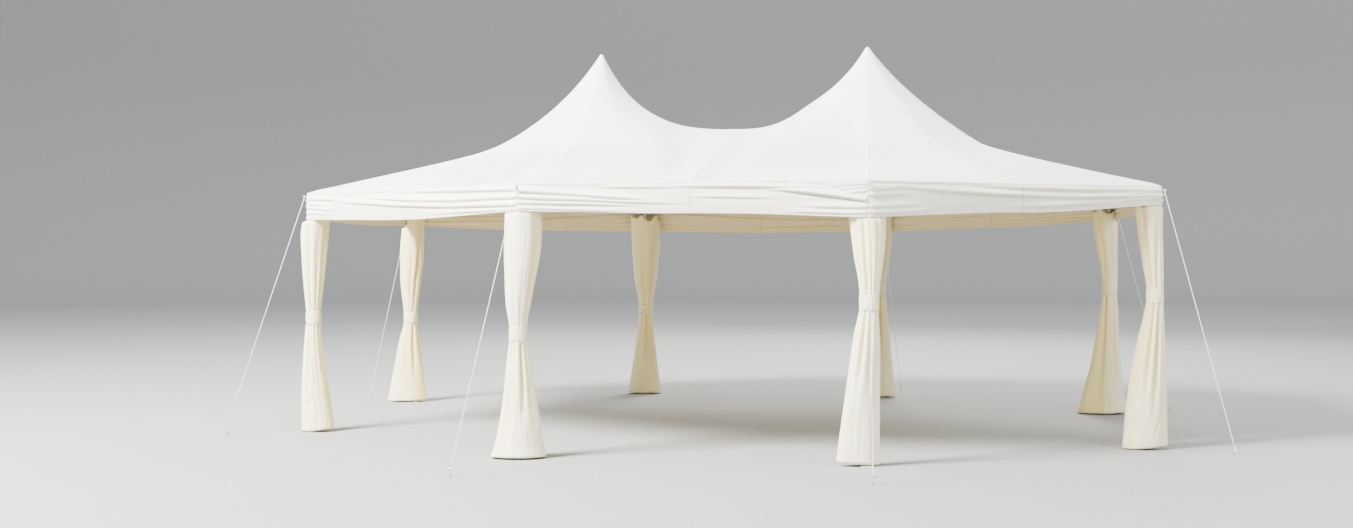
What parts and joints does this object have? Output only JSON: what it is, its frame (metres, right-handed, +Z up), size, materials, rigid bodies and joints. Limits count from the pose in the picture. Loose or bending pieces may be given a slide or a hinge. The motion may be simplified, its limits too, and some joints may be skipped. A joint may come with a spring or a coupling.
{
  "type": "twin-peak party marquee",
  "caption": "Stretched-octagon garden party marquee: twin-peak cloth roof with a valance on a steel tube frame, tied leg curtains, and guy lines to ground pegs",
  "frame": {"origin": "on the ground under the middle of the marquee, halfway between the two peaks", "axes": "+X along the length (from the left peak to the right peak), +Y to the back, +Z up"},
  "size_m": [8.004, 6.8714, 3.2734],
  "materials": {
    "roof_cloth": "off-white coated polyester, fine plain weave, faint sheen, sewn seams",
    "valance_cloth": "cream polyester with a stitched hem, soft horizontal creases",
    "curtain_cloth": "light cream polyester, thin and slightly see-through, long soft folds",
    "guy_rope": "off-white twisted polyester rope",
    "frame_steel": "white powder-coated steel tube, semi-gloss",
    "peg_steel": "zinc-plated steel, dulled by soil",
    "fittings": "dark nickel eyelets and hooks"
  },
  "bodies": {
    "root": {"curtain_back_left": "curtain_cloth", "curtain_back_right": "curtain_cloth", "curtain_front_left": "curtain_cloth", "curtain_front_right": "curtain_cloth", "curtain_left_back": "curtain_cloth", "curtain_left_front": "curtain_cloth", "curtain_right_back": "curtain_cloth", "curtain_right_front": "curtain_cloth", "eave_rail_back_left_to_left_back": "frame_steel", "eave_rail_back_right_to_back_left": "frame_steel", "eave_rail_front_left_to_front_right": "frame_steel", "eave_rail_front_right_to_right_front": "frame_steel", "eave_rail_left_back_to_left_front": "frame_steel", "eave_rail_left_front_to_front_left": "frame_steel", "eave_rail_right_back_to_back_right": "frame_steel", "eave_rail_right_front_to_right_back": "frame_steel", "guy_line_back_left": "guy_rope", "guy_line_back_right": "guy_rope", "guy_line_front_left": "guy_rope", "guy_line_front_right": "guy_rope", "guy_line_left_back": "guy_rope", "guy_line_left_front": "guy_rope", "guy_line_right_back": "guy_rope", "guy_line_right_front": "guy_rope", "leg_back_left": "frame_steel", "leg_back_right": "frame_steel", "leg_front_left": "frame_steel", "leg_front_right": "frame_steel", "leg_left_back": "frame_steel", "leg_left_front": "frame_steel", "leg_right_back": "frame_steel", "leg_right_front": "frame_steel", "peak_mast_left": "frame_steel", "peak_mast_right": "frame_steel", "rafter_back_left": "frame_steel", "rafter_back_right": "frame_steel", "rafter_front_left": "frame_steel", "rafter_front_right": "frame_steel", "rafter_left_back": "frame_steel", "rafter_left_front": "frame_steel", "rafter_right_back": "frame_steel", "rafter_right_front": "frame_steel", "ridge_tube": "frame_steel", "roof_cover": "roof_cloth", "valance": "valance_cloth"}
  },
  "joints": []
}
